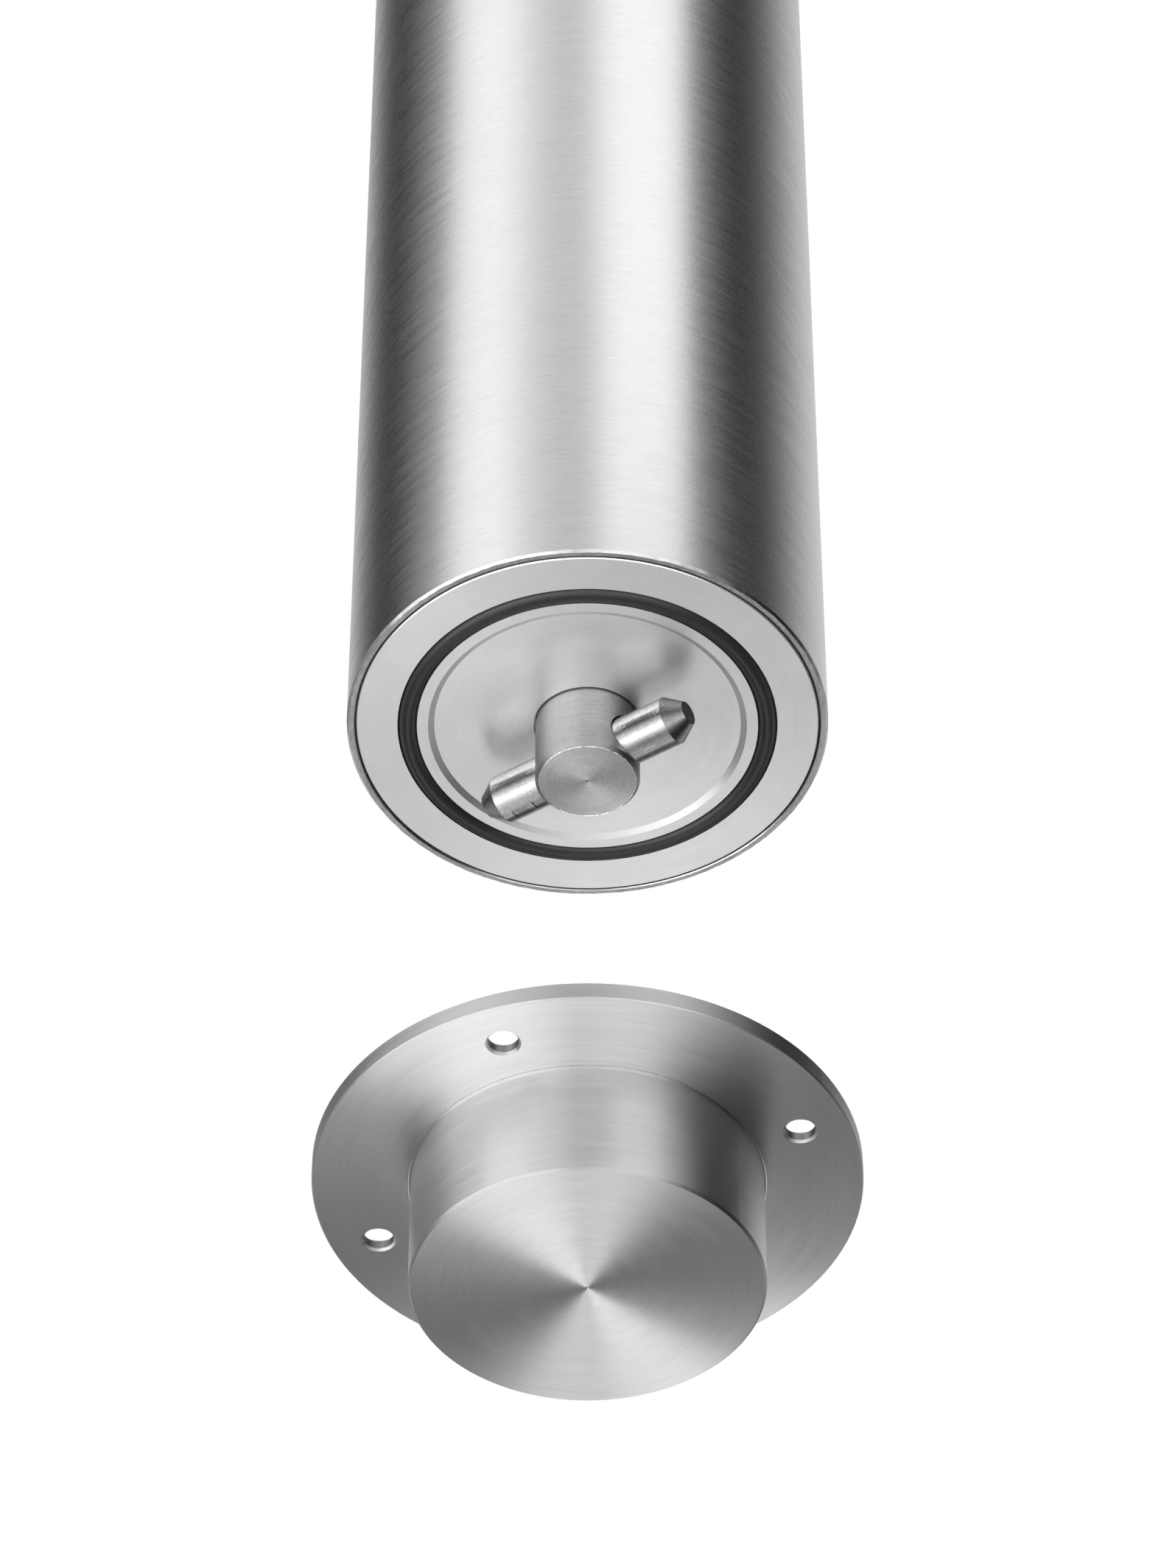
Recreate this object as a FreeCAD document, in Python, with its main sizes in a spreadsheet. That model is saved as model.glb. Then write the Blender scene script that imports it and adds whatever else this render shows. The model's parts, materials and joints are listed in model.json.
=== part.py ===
"""Removable barrier post: a round post with a quarter-turn bar lock in its foot, clear of its floor socket.

Millimetres. Z is up. The origin is on the axis at ground level, in the plane of the flange's underside.
X lies along the cross pin, which is in line with the socket's slot.
"""

import FreeCAD, Part
import os
import re
import sys

import Sketcher
from FreeCAD import Placement, Rotation, Vector

FOLDER = "parts"

# Each size: its name, its value and what it measures
SIZES = [
    ("tube_diameter", 101.6, "outside of the post tube"),
    ("tube_wall", 1.6, "wall of the post tube"),
    ("tube_length", 900.0, "post tube, end to end"),
    ("tube_bevel", 0.5, "bevel round the outside of the tube's foot"),
    ("tube_inner_bevel", 0.2, "bevel inside the tube's foot"),
    ("foot_height", 128.4, "foot of the lifted post above the ground"),
    ("bond_gap", 0.05, "gap of a bonded or pinned joint"),
    ("running_gap", 0.05, "gap round a turning shaft"),
    ("end_play", 0.1, "play of the lock along its axis"),
    ("plug_length", 30.0, "foot plug, end to end"),
    ("plug_relief", 0.4, "extra gap between plug and tube at the foot"),
    ("plug_relief_height", 4.0, "how far that gap reaches up"),
    ("plug_bevel", 0.2, "bevel round the plug's foot and lead"),
    ("recess_diameter", 67.3, "shallow recess in the plug's foot"),
    ("recess_slope", 1.3, "width of the recess's sloping wall"),
    ("recess_depth", 0.7, "depth of that recess"),
    ("seal_circle", 76.1, "middle circle of the face seal"),
    ("seal_cord", 4.0, "thickness of the face seal"),
    ("seal_proud", 0.8, "how far the face seal stands out of the foot"),
    ("seal_gap", 0.05, "gap between a seal and its groove"),
    ("mouth_gap", 0.35, "extra gap round the spindle where it leaves the plug"),
    ("mouth_depth", 1.5, "how far that gap reaches in"),
    ("spindle_diameter", 22.0, "lock spindle"),
    ("spindle_reach", 16.0, "spindle below the foot"),
    ("spindle_bevel", 0.8, "bevel round the spindle's end"),
    ("centre_mark", 0.8, "turning centre in an end face"),
    ("spindle_seal_cord", 3.0, "thickness of the spindle's seal"),
    ("spindle_seal_height", 6.0, "spindle's seal above the foot"),
    ("bush_wall", 2.0, "wall of the spindle's bush"),
    ("bush_length", 18.0, "spindle's bush"),
    ("washer_diameter", 29.0, "thrust washer"),
    ("washer_thickness", 2.0, "thrust washer"),
    ("washer_gap", 0.2, "gap between thrust washer and spindle"),
    ("collar_diameter", 40.0, "collar of the spindle"),
    ("collar_height", 8.0, "collar of the spindle"),
    ("stop_circle", 35.0, "circle that the stop pin stands on"),
    ("stop_diameter", 5.0, "stop pin"),
    ("stop_seat", 8.0, "stop pin's depth in the plug"),
    ("stop_gap", 0.2, "gap between stop pin and collar"),
    ("stop_short", 2.5, "stop pin's end below the collar's top"),
    ("stop_direction", 45.0, "degrees from the cross pin to the stop pin"),
    ("lock_sweep", 90.0, "degrees that the lock turns"),
    ("pin_diameter", 10.5, "cross pin"),
    ("pin_length", 50.2, "cross pin"),
    ("pin_depth", 9.4, "axis of the cross pin below the foot"),
    ("pin_point", 3.9, "length of the cross pin's cones"),
    ("pin_flat", 5.2, "flat end of the cross pin's cones"),
    ("pin_slack", 0.6, "cross hole's diameter over the pin's"),
    ("stub_diameter", 16.0, "ends that the drive rod slides over"),
    ("stub_length", 32.0, "spindle's upper end"),
    ("rod_wall", 2.6, "wall of the drive rod"),
    ("rod_pin_diameter", 5.0, "pins through the drive rod"),
    ("rod_pin_bevel", 0.5, "bevel of those pins' ends"),
    ("rod_pin_inset", 16.0, "pins' distance from the rod's ends"),
    ("guide_height", 430.0, "rod guide above the foot"),
    ("guide_thickness", 12.0, "rod guide"),
    ("guide_rim", 6.0, "rim of the rod guide"),
    ("guide_hub", 6.0, "wall of the rod guide's hub"),
    ("guide_web", 4.0, "web between hub and rim"),
    ("guide_hole", 16.0, "holes in the rod guide's web"),
    ("guide_holes", 6, "how many holes the web has"),
    ("cap_thickness", 4.0, "plate of the top cap"),
    ("cap_bevel", 0.5, "bevel round the top cap"),
    ("spigot_length", 20.0, "ring of the top cap inside the tube"),
    ("spigot_wall", 5.0, "wall of that ring"),
    ("cap_seal_cord", 2.5, "thickness of the top cap's seal"),
    ("hub_wall", 7.0, "wall round the key well"),
    ("well_diameter", 26.0, "key well in the top cap"),
    ("journal_diameter", 20.0, "turning end of the key head"),
    ("key_bush_length", 12.0, "bush in the key well"),
    ("shoulder_diameter", 30.0, "shoulder of the key head"),
    ("shoulder_height", 5.0, "shoulder of the key head"),
    ("key_stub_length", 28.0, "key head's end inside the drive rod"),
    ("key_circle", 17.0, "circle round the three-sided key end"),
    ("key_sink", 2.0, "key end below the cap's top"),
    ("flange_diameter", 108.0, "socket's flange"),
    ("flange_thickness", 4.0, "socket's flange"),
    ("flange_bevel", 0.25, "bevel round the flange"),
    ("screw_circle", 88.6, "circle of the screw holes"),
    ("screw_hole", 6.0, "screw holes"),
    ("screw_holes", 4, "how many screw holes"),
    ("screw_turn", 12.1, "degrees from the slot to a screw hole"),
    ("screw_bevel", 0.45, "bevel of a screw hole's lower edge"),
    ("countersink", 9.6, "countersink at the flange's top"),
    ("slot_side_gap", 0.75, "gap beside the cross pin and round the spindle"),
    ("slot_end_gap", 1.0, "gap past each end of the cross pin"),
    ("cup_diameter", 69.2, "socket's cup"),
    ("cup_depth", 26.0, "socket's cup below the ground"),
    ("cup_wall", 4.0, "wall of the cup"),
    ("cup_floor", 3.0, "bottom of the cup"),
    ("cup_bevel", 0.5, "bevel round the cup's bottom"),
    ("cup_flare", 0.4, "flare of the cup's rim under the flange"),
    ("register_depth", 1.1, "how far the cup's rim reaches into the flange"),
    ("weld_leg", 0.15, "weld round the cup's rim, flush with the flange"),
]

# Sizes that follow from those
TUBE_BORE = "(tube_diameter / 2 - tube_wall)"
PLUG_RADIUS = f"({TUBE_BORE} - bond_gap)"
SPINDLE_BORE = "(spindle_diameter / 2 + running_gap)"
BUSH_RADIUS = f"({SPINDLE_BORE} + bush_wall)"
COLLAR_HEIGHT = "(spindle_reach + plug_length + washer_thickness + end_play)"
ROD_BORE = "(stub_diameter / 2 + bond_gap)"
ROD_RADIUS = f"({ROD_BORE} + rod_wall)"
ROD_START = f"(foot_height - spindle_reach + {COLLAR_HEIGHT} + collar_height)"
POST_TOP = "(foot_height + tube_length)"
BUSH_BASE = f"({POST_TOP} - spigot_length)"
SHOULDER_TOP = f"({BUSH_BASE} - end_play)"
ROD_END = f"({SHOULDER_TOP} - shoulder_height)"
ROD_LENGTH = f"({ROD_END} - {ROD_START})"
PIN_HEIGHT = "(spindle_reach - pin_depth)"
SLOT_WIDTH = "(pin_diameter + 2 * slot_side_gap)"
SLOT_LENGTH = "(pin_length + 2 * slot_end_gap)"

ALONG_X = Rotation(Vector(0, 1, 0), 90)

document = FreeCAD.newDocument("barrier_post")
sheet = document.addObject("Spreadsheet::Sheet", "sizes")
for row, (alias, size, meaning) in enumerate(SIZES, start=1):
    sheet.set(f"A{row}", meaning)
    sheet.set(f"B{row}", str(size))
    sheet.setAlias(f"B{row}", alias)
document.recompute()
NAMES = {alias for alias, size, meaning in SIZES}
pieces = []


def formula(text):
    """Point the words of a formula that name a size at the sheet."""
    return re.sub(r"[a-z][a-z_]*", lambda word: "sizes." + word[0] if word[0] in NAMES else word[0], text)


def number(text):
    """Work a formula out."""
    result = sheet.evalExpression(formula(text))
    return float(getattr(result, "Value", result))


def bind(thing, **formulas):
    """Tie properties to formulas; two underscores in a name stand for a dot."""
    for name, text in formulas.items():
        thing.setExpression(name.replace("__", "."), formula(text))


def piece(thing, height="0"):
    """Keep a sub-part, lifted to its height."""
    thing.Label = thing.Name
    bind(thing, Placement__Base__z=height)
    pieces.append(thing)
    return thing


def origin_part(body, role):
    """One of the body's own axes or planes."""
    return next(part for part in body.Origin.OriginFeatures if part.Role == role)


def drawing(body, name, plane="XZ_Plane"):
    """A sketch on one of the body's own planes."""
    sketch = body.newObject("Sketcher::SketchObject", f"{body.Name}_{name}")
    sketch.AttachmentSupport = [(origin_part(body, plane), "")]
    sketch.MapMode = "FlatFace"
    return sketch


def outline(sketch, corners):
    """Draw a closed outline whose corners are (across, up) formulas, each held by its own dimensions."""
    points = [Vector(number(across), number(up), 0) for across, up in corners]
    count = len(points)
    for start, end in zip(points, points[1:] + points[:1]):
        sketch.addGeometry(Part.LineSegment(start, end))
    for line in range(count):
        sketch.addConstraint(Sketcher.Constraint("Coincident", line, 2, (line + 1) % count, 1))
    for line, (corner, point) in enumerate(zip(corners, points)):
        sides = (("DistanceX", -2, corner[0], point.x), ("DistanceY", -1, corner[1], point.y))
        for kind, axis, text, place in sides:
            if text == "0":
                sketch.addConstraint(Sketcher.Constraint("PointOnObject", line, 1, axis))
                continue
            held = sketch.addConstraint(Sketcher.Constraint(kind, -1, 1, line, 1, place))
            sketch.setExpression(f"Constraints[{held}]", formula(text))
    return sketch


def turned(name, corners, height="0"):
    """A sub-part turned about Z from (radius, height) corners."""
    body = document.addObject("PartDesign::Body", name)
    sketch = outline(drawing(body, "section"), corners)
    turning = body.newObject("PartDesign::Revolution", f"{name}_turning")
    turning.Profile = sketch
    turning.ReferenceAxis = (sketch, ["V_Axis"])
    turning.Angle = 360
    sketch.Visibility = False
    return piece(body, height)


def ring(name, inner, outer, length, height="0"):
    """A plain turned ring."""
    return turned(name, [(inner, "0"), (outer, "0"), (outer, length), (inner, length)], height)


def drilled(body, name, radius, length, place, turn=Rotation()):
    """A round cut that starts at place and runs along Z, or along X with that turn."""
    cut = body.newObject("PartDesign::SubtractiveCylinder", f"{body.Name}_{name}")
    cut.Placement = Placement(Vector(), turn)
    bind(cut, Radius=radius, Height=length)
    for letter, text in zip("xyz", place):
        cut.setExpression(f"Placement.Base.{letter}", formula(text))
    return cut


def coned(body, name, lower, upper, length, place):
    """A conical cut along Z."""
    cut = body.newObject("PartDesign::SubtractiveCone", f"{body.Name}_{name}")
    bind(cut, Radius1=lower, Radius2=upper, Height=length)
    for letter, text in zip("xyz", place):
        cut.setExpression(f"Placement.Base.{letter}", formula(text))
    return cut


def repeated(body, name, cuts, count):
    """The same cuts again round Z."""
    pattern = body.newObject("PartDesign::PolarPattern", f"{body.Name}_{name}")
    pattern.Originals = cuts
    pattern.Axis = (origin_part(body, "Z_Axis"), [""])
    pattern.Angle = 360
    pattern.setExpression("Occurrences", formula(count))
    body.Tip = pattern
    return pattern


def cord_ring(name, circle, cord, height):
    """A round seal."""
    seal = document.addObject("Part::Torus", name)
    bind(seal, Radius1=circle, Radius2=cord)
    return piece(seal, height)


def across(pin, length):
    """Lay a turned pin along X, centred on the axis."""
    pin.Placement.Rotation = ALONG_X
    pin.setExpression("Placement.Base.x", formula(f"-({length}) / 2"))
    return pin


def rod_pin(name, height):
    """A pin through the drive rod, with bevelled ends."""
    radius = "(rod_pin_diameter / 2 - bond_gap)"
    face = f"({radius} - rod_pin_bevel)"
    length = f"(2 * {ROD_RADIUS})"
    pin = turned(name, [
        ("0", "0"), (face, "0"), (radius, "rod_pin_bevel"),
        (radius, f"{length} - rod_pin_bevel"), (face, length), ("0", length)], height)
    return across(pin, length)


def make_post():
    """Tube, foot plug and what is fixed in them."""
    turned("post_tube", [
        (f"{TUBE_BORE} + tube_inner_bevel", "0"), ("tube_diameter / 2 - tube_bevel", "0"),
        ("tube_diameter / 2", "tube_bevel"), ("tube_diameter / 2", "tube_length"),
        (TUBE_BORE, "tube_length"), (TUBE_BORE, "tube_inner_bevel")], "foot_height")

    relief = f"({PLUG_RADIUS} - plug_relief)"
    mouth = f"({SPINDLE_BORE} + mouth_gap)"
    mouth_top = "(recess_depth + mouth_depth)"
    groove_depth = "(seal_cord - seal_proud + seal_gap)"
    groove_inner = "(seal_circle / 2 - seal_cord / 2 - seal_gap)"
    groove_outer = "(seal_circle / 2 + seal_cord / 2 + seal_gap)"
    seal_pocket = f"({SPINDLE_BORE} + spindle_seal_cord)"
    seal_low = "(spindle_seal_height - spindle_seal_cord / 2 - seal_gap)"
    seal_high = "(spindle_seal_height + spindle_seal_cord / 2 + seal_gap)"
    bush_base = "(plug_length - bush_length)"
    turned("foot_plug", [
        (mouth, "recess_depth"), ("recess_diameter / 2 - recess_slope", "recess_depth"),
        ("recess_diameter / 2", "0"), (groove_inner, "0"), (groove_inner, groove_depth),
        (groove_outer, groove_depth), (groove_outer, "0"), (f"{relief} - plug_bevel", "0"),
        (relief, "plug_bevel"), (relief, "plug_relief_height"),
        (PLUG_RADIUS, "plug_relief_height + plug_relief"),
        (PLUG_RADIUS, "plug_length - plug_bevel"), (f"{PLUG_RADIUS} - plug_bevel", "plug_length"),
        (f"{BUSH_RADIUS} + bond_gap", "plug_length"), (f"{BUSH_RADIUS} + bond_gap", bush_base),
        (SPINDLE_BORE, bush_base), (SPINDLE_BORE, seal_high), (seal_pocket, seal_high),
        (seal_pocket, seal_low), (SPINDLE_BORE, seal_low), (SPINDLE_BORE, mouth_top),
        (mouth, mouth_top)], "foot_height")
    plug = document.getObject("foot_plug")
    stop_seat_base = ["stop_circle / 2 * cos(stop_direction)", "stop_circle / 2 * sin(stop_direction)",
                      "plug_length - stop_seat"]
    drilled(plug, "stop_hole", "stop_diameter / 2", "stop_seat + plug_bevel", stop_seat_base)

    cord_ring("face_seal", "seal_circle / 2", "seal_cord / 2", "foot_height + seal_cord / 2 - seal_proud")
    cord_ring("spindle_seal", f"{SPINDLE_BORE} + spindle_seal_cord / 2 + seal_gap / 2",
              "spindle_seal_cord / 2 - seal_gap / 2", "foot_height + spindle_seal_height")
    ring("spindle_bush", SPINDLE_BORE, BUSH_RADIUS, "bush_length", f"foot_height + {bush_base}")
    ring("thrust_washer", "spindle_diameter / 2 + washer_gap", "washer_diameter / 2", "washer_thickness",
         "foot_height + plug_length")

    stop_radius = "(stop_diameter / 2 - bond_gap)"
    stop_length = "(stop_seat + washer_thickness + end_play + collar_height - stop_short)"
    stop = turned("stop_pin", [("0", "0"), (stop_radius, "0"), (stop_radius, f"{stop_length} - plug_bevel"),
                               (f"{stop_radius} - plug_bevel", stop_length), ("0", stop_length)],
                  "foot_height + plug_length - stop_seat")
    stop.setExpression("Placement.Base.x", formula(stop_seat_base[0]))
    stop.setExpression("Placement.Base.y", formula(stop_seat_base[1]))

    make_guide()
    make_cap()


def make_guide():
    """Spoked disc that keeps the drive rod on the axis."""
    bore = f"({ROD_RADIUS} + running_gap)"
    hub = f"({bore} + guide_hub)"
    rim = f"({PLUG_RADIUS} - guide_rim)"
    web_low = "(guide_thickness / 2 - guide_web / 2)"
    web_high = "(guide_thickness / 2 + guide_web / 2)"
    guide = turned("rod_guide", [
        (bore, "0"), (hub, "0"), (hub, web_low), (rim, web_low), (rim, "0"), (PLUG_RADIUS, "0"),
        (PLUG_RADIUS, "guide_thickness"), (rim, "guide_thickness"), (rim, web_high), (hub, web_high),
        (hub, "guide_thickness"), (bore, "guide_thickness")], "foot_height + guide_height")
    hole = drilled(guide, "hole", "guide_hole / 2", "guide_thickness", [f"({hub} + {rim}) / 2", "0", "0"])
    repeated(guide, "holes", [hole], "guide_holes")


def make_cap():
    """Top cap with its key well, bush and seal."""
    hub = "(well_diameter / 2 + hub_wall)"
    ring_inner = f"({PLUG_RADIUS} - spigot_wall)"
    groove = f"({PLUG_RADIUS} - cap_seal_cord)"
    groove_low = "(spigot_length / 2 - cap_seal_cord / 2 - seal_gap)"
    groove_high = "(spigot_length / 2 + cap_seal_cord / 2 + seal_gap)"
    top = "(spigot_length + cap_thickness)"
    turned("top_cap", [
        ("well_diameter / 2", "0"), (hub, "0"), (hub, "spigot_length"), (ring_inner, "spigot_length"),
        (ring_inner, "0"), (f"{PLUG_RADIUS} - cap_bevel", "0"), (PLUG_RADIUS, "cap_bevel"),
        (PLUG_RADIUS, groove_low), (groove, groove_low), (groove, groove_high), (PLUG_RADIUS, groove_high),
        (PLUG_RADIUS, "spigot_length"), ("tube_diameter / 2", "spigot_length"),
        ("tube_diameter / 2", f"{top} - cap_bevel"), ("tube_diameter / 2 - cap_bevel", top),
        ("well_diameter / 2 + cap_bevel", top), ("well_diameter / 2", f"{top} - cap_bevel")], BUSH_BASE)
    cord_ring("cap_seal", f"{PLUG_RADIUS} - cap_seal_cord / 2", "cap_seal_cord / 2 - seal_gap / 2",
              f"{BUSH_BASE} + spigot_length / 2")
    ring("key_bush", "journal_diameter / 2 + running_gap", "well_diameter / 2 - bond_gap",
         "key_bush_length", BUSH_BASE)


def make_lock():
    """The turning lock: spindle, cross pin, drive rod and key head."""
    radius = "spindle_diameter / 2"
    mark = "centre_mark / 2"
    collar_top = f"({COLLAR_HEIGHT} + collar_height)"
    stub_top = f"({collar_top} + stub_length)"
    spindle = turned("lock_spindle", [
        ("0", mark), (mark, "0"), (f"{radius} - spindle_bevel", "0"), (radius, "spindle_bevel"),
        (radius, COLLAR_HEIGHT), ("collar_diameter / 2", COLLAR_HEIGHT),
        ("collar_diameter / 2", collar_top),
        ("stub_diameter / 2", collar_top), ("stub_diameter / 2", f"{stub_top} - spindle_bevel"),
        ("stub_diameter / 2 - spindle_bevel", stub_top), ("0", stub_top)], "foot_height - spindle_reach")
    drilled(spindle, "cross_hole", "(pin_diameter + pin_slack) / 2", "spindle_diameter * 2",
            ["-spindle_diameter", "0", PIN_HEIGHT], ALONG_X)
    drilled(spindle, "rod_pin_hole", "rod_pin_diameter / 2", "stub_diameter * 2",
            ["-stub_diameter", "0", f"{collar_top} + rod_pin_inset"], ALONG_X)
    notch_inner = "(stop_circle / 2 - stop_diameter / 2 - stop_gap)"
    sketch = outline(drawing(spindle, "notch_section"), [
        (notch_inner, COLLAR_HEIGHT), ("collar_diameter", COLLAR_HEIGHT),
        ("collar_diameter", collar_top), (notch_inner, collar_top)])
    notch = spindle.newObject("PartDesign::Groove", "lock_spindle_notch")
    notch.Profile = sketch
    notch.ReferenceAxis = (sketch, ["V_Axis"])
    notch.Midplane = True
    stop_sweep = "2 * asin((stop_diameter + 2 * stop_gap) / stop_circle)"
    notch.setExpression("Angle", formula(f"lock_sweep * 1 deg + {stop_sweep}"))
    sketch.Visibility = False

    across(turned("cross_pin", [
        ("0", "0"), ("pin_flat / 2", "0"), ("pin_diameter / 2", "pin_point"),
        ("pin_diameter / 2", "pin_length - pin_point"), ("pin_flat / 2", "pin_length"),
        ("0", "pin_length")],
        "foot_height - pin_depth - pin_slack / 2 + bond_gap"), "pin_length")

    rod = ring("drive_rod", ROD_BORE, ROD_RADIUS, ROD_LENGTH, ROD_START)
    for name, height in (("lower", "rod_pin_inset"), ("upper", f"{ROD_LENGTH} - rod_pin_inset")):
        drilled(rod, f"{name}_hole", "rod_pin_diameter / 2", f"4 * {ROD_RADIUS}",
                [f"-2 * {ROD_RADIUS}", "0", height], ALONG_X)
    rod_pin("lower_rod_pin", f"{ROD_START} + rod_pin_inset")
    rod_pin("upper_rod_pin", f"{ROD_END} - rod_pin_inset")

    make_key_head()


def make_key_head():
    """Turned head with a three-sided end for the key."""
    shoulder_base = "key_stub_length"
    shoulder_top = "(key_stub_length + shoulder_height)"
    journal_top = f"({shoulder_top} + end_play + key_bush_length)"
    key_top = f"({shoulder_top} + end_play + spigot_length + cap_thickness - key_sink)"
    head = turned("key_head", [
        ("0", "0"), ("stub_diameter / 2 - spindle_bevel", "0"), ("stub_diameter / 2", "spindle_bevel"),
        ("stub_diameter / 2", shoulder_base), ("shoulder_diameter / 2", shoulder_base),
        ("shoulder_diameter / 2", shoulder_top), ("journal_diameter / 2", shoulder_top),
        ("journal_diameter / 2", journal_top), ("0", journal_top)], f"{ROD_END} - key_stub_length")
    sketch = outline(drawing(head, "key_outline", "XY_Plane"), [
        ("key_circle / 2", "0"), ("-key_circle / 4", "key_circle / 2 * sin(60)"),
        ("-key_circle / 4", "-key_circle / 2 * sin(60)")])
    sketch.setExpression("AttachmentOffset.Base.z", formula(journal_top))
    end = head.newObject("PartDesign::Pad", "key_head_end")
    end.Profile = sketch
    end.setExpression("Length", formula(f"{key_top} - {journal_top}"))
    sketch.Visibility = False
    drilled(head, "pin_hole", "rod_pin_diameter / 2", "stub_diameter * 2",
            ["-stub_diameter", "0", "key_stub_length - rod_pin_inset"], ALONG_X)


def make_socket():
    """Flange with its slot, closed cup and the weld between them."""
    edge = "flange_diameter / 2"
    outer = "cup_diameter / 2"
    rim = f"({outer} + cup_flare)"
    register = f"({rim} + bond_gap)"
    flange = turned("floor_flange", [
        ("0", "register_depth"), (register, "register_depth"), (register, "weld_leg"),
        (f"{register} + weld_leg", "0"),
        (f"{edge} - flange_bevel", "0"), (edge, "flange_bevel"), (edge, "flange_thickness - flange_bevel"),
        (f"{edge} - flange_bevel", "flange_thickness"), ("0", "flange_thickness")])
    drilled(flange, "spindle_hole", "spindle_diameter / 2 + slot_side_gap", "flange_thickness",
            ["0", "0", "0"])
    straight = f"({SLOT_LENGTH} - {SLOT_WIDTH})"
    slot = flange.newObject("PartDesign::SubtractiveBox", "floor_flange_slot")
    bind(slot, Length=straight, Width=SLOT_WIDTH, Height="flange_thickness",
         Placement__Base__x=f"-{straight} / 2", Placement__Base__y=f"-{SLOT_WIDTH} / 2")
    for name, side in (("left", "-"), ("right", "")):
        drilled(flange, f"{name}_slot_end", f"{SLOT_WIDTH} / 2", "flange_thickness",
                [f"{side}{straight} / 2", "0", "0"])
    screw_place = ["screw_circle / 2 * cos(screw_turn)", "screw_circle / 2 * sin(screw_turn)"]
    sink_depth = "(countersink / 2 - screw_hole / 2)"
    hole = drilled(flange, "screw_hole", "screw_hole / 2", "flange_thickness", [*screw_place, "0"])
    bevel = coned(flange, "screw_bevel", "screw_hole / 2 + screw_bevel", "screw_hole / 2", "screw_bevel",
                  [*screw_place, "0"])
    sink = coned(flange, "countersink", "screw_hole / 2", "countersink / 2", sink_depth,
                 [*screw_place, f"flange_thickness - {sink_depth}"])
    repeated(flange, "screw_pattern", [hole, bevel, sink], "screw_holes")

    inner = f"({outer} - cup_wall)"
    mark = "centre_mark / 2"
    rim_top = "(cup_depth + register_depth)"
    turned("socket_cup", [
        ("0", mark), (mark, "0"), (f"{outer} - cup_bevel", "0"), (outer, "cup_bevel"),
        (outer, "cup_depth - cup_flare"), (rim, "cup_depth"), (rim, rim_top), (inner, rim_top),
        (inner, "cup_floor"), ("0", "cup_floor")], "-cup_depth")
    turned("cup_weld", [(rim, "0"), (f"{rim} + weld_leg", "0"), (rim, "weld_leg")])


def check_and_write():
    """Stop on any failed object, then write each sub-part."""
    document.recompute()
    failed = [thing.Name for thing in document.Objects if {"Invalid", "Error"} & set(thing.State)]
    for thing in pieces:
        if thing.Shape.isNull() or not thing.Shape.isValid() or not thing.Shape.Solids:
            failed.append(thing.Name)
    if failed:
        sys.exit("failed: " + ", ".join(failed))
    os.makedirs(FOLDER, exist_ok=True)
    for thing in pieces:
        thing.Shape.exportStep(f"{FOLDER}/{thing.Label}.step")
        box = thing.Shape.BoundBox
        print(f"{thing.Label}: {len(thing.Shape.Solids)} solid, {thing.Shape.Volume:.0f} mm3, "
              f"z {box.ZMin:.2f} to {box.ZMax:.2f}, {box.XLength:.2f} by {box.YLength:.2f}")


make_post()
make_lock()
make_socket()
check_and_write()
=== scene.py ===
"""Barrier post with a quarter-turn bar lock in its foot, lifted clear of its floor socket.

Metres, in the part's own frame: Z is up, the origin is on the axis at ground level and X lies along the
cross pin.
"""

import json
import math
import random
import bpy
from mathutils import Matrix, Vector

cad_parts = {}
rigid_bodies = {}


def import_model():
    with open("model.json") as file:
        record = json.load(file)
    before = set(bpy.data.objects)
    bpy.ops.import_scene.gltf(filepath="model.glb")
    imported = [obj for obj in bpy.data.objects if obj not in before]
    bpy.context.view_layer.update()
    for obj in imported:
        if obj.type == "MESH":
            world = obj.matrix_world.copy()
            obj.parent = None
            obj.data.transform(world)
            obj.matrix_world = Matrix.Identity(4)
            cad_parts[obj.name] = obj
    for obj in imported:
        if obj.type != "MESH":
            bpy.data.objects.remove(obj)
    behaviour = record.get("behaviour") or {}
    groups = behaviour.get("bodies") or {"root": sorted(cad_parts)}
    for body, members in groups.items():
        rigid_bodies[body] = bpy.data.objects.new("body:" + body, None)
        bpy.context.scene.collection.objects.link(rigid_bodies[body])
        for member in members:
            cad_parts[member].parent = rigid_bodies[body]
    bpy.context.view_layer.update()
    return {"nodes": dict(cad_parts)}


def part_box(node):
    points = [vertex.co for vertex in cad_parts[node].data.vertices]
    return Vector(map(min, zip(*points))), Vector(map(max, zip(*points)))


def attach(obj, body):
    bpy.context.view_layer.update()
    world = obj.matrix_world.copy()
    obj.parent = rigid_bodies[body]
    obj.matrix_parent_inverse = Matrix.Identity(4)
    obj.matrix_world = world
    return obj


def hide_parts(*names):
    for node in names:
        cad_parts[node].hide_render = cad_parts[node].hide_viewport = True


bl_info = {
    "name": "Barrier post",
    "version": (1, 0, 0),
    "blender": (4, 5, 0),
    "location": "3D View > Sidebar > Barrier post",
    "description": "Brushed and turned steel for a removable barrier post, its bar lock and floor socket",
    "category": "Object",
}

import bmesh
import bpy
from mathutils import Vector

for left_over in list(bpy.data.objects):
    bpy.data.objects.remove(left_over)
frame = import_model()
nodes = frame["nodes"]

MM = 0.001
WHITE = (1, 1, 1, 1)
TUBE_LOW, TUBE_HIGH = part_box("post_tube")
FOOT = TUBE_LOW.z
SPINDLE_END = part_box("lock_spindle")[0].z
# Radius of the spindle's end face, inside its bevel
SPINDLE_EDGE = 0.0102
# The burr's middle stands this far above the end face
BURR_RISE = 0.02 * MM
# Real height of the marks that a tool leaves
MARK_HEIGHT = 0.02 * MM
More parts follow.
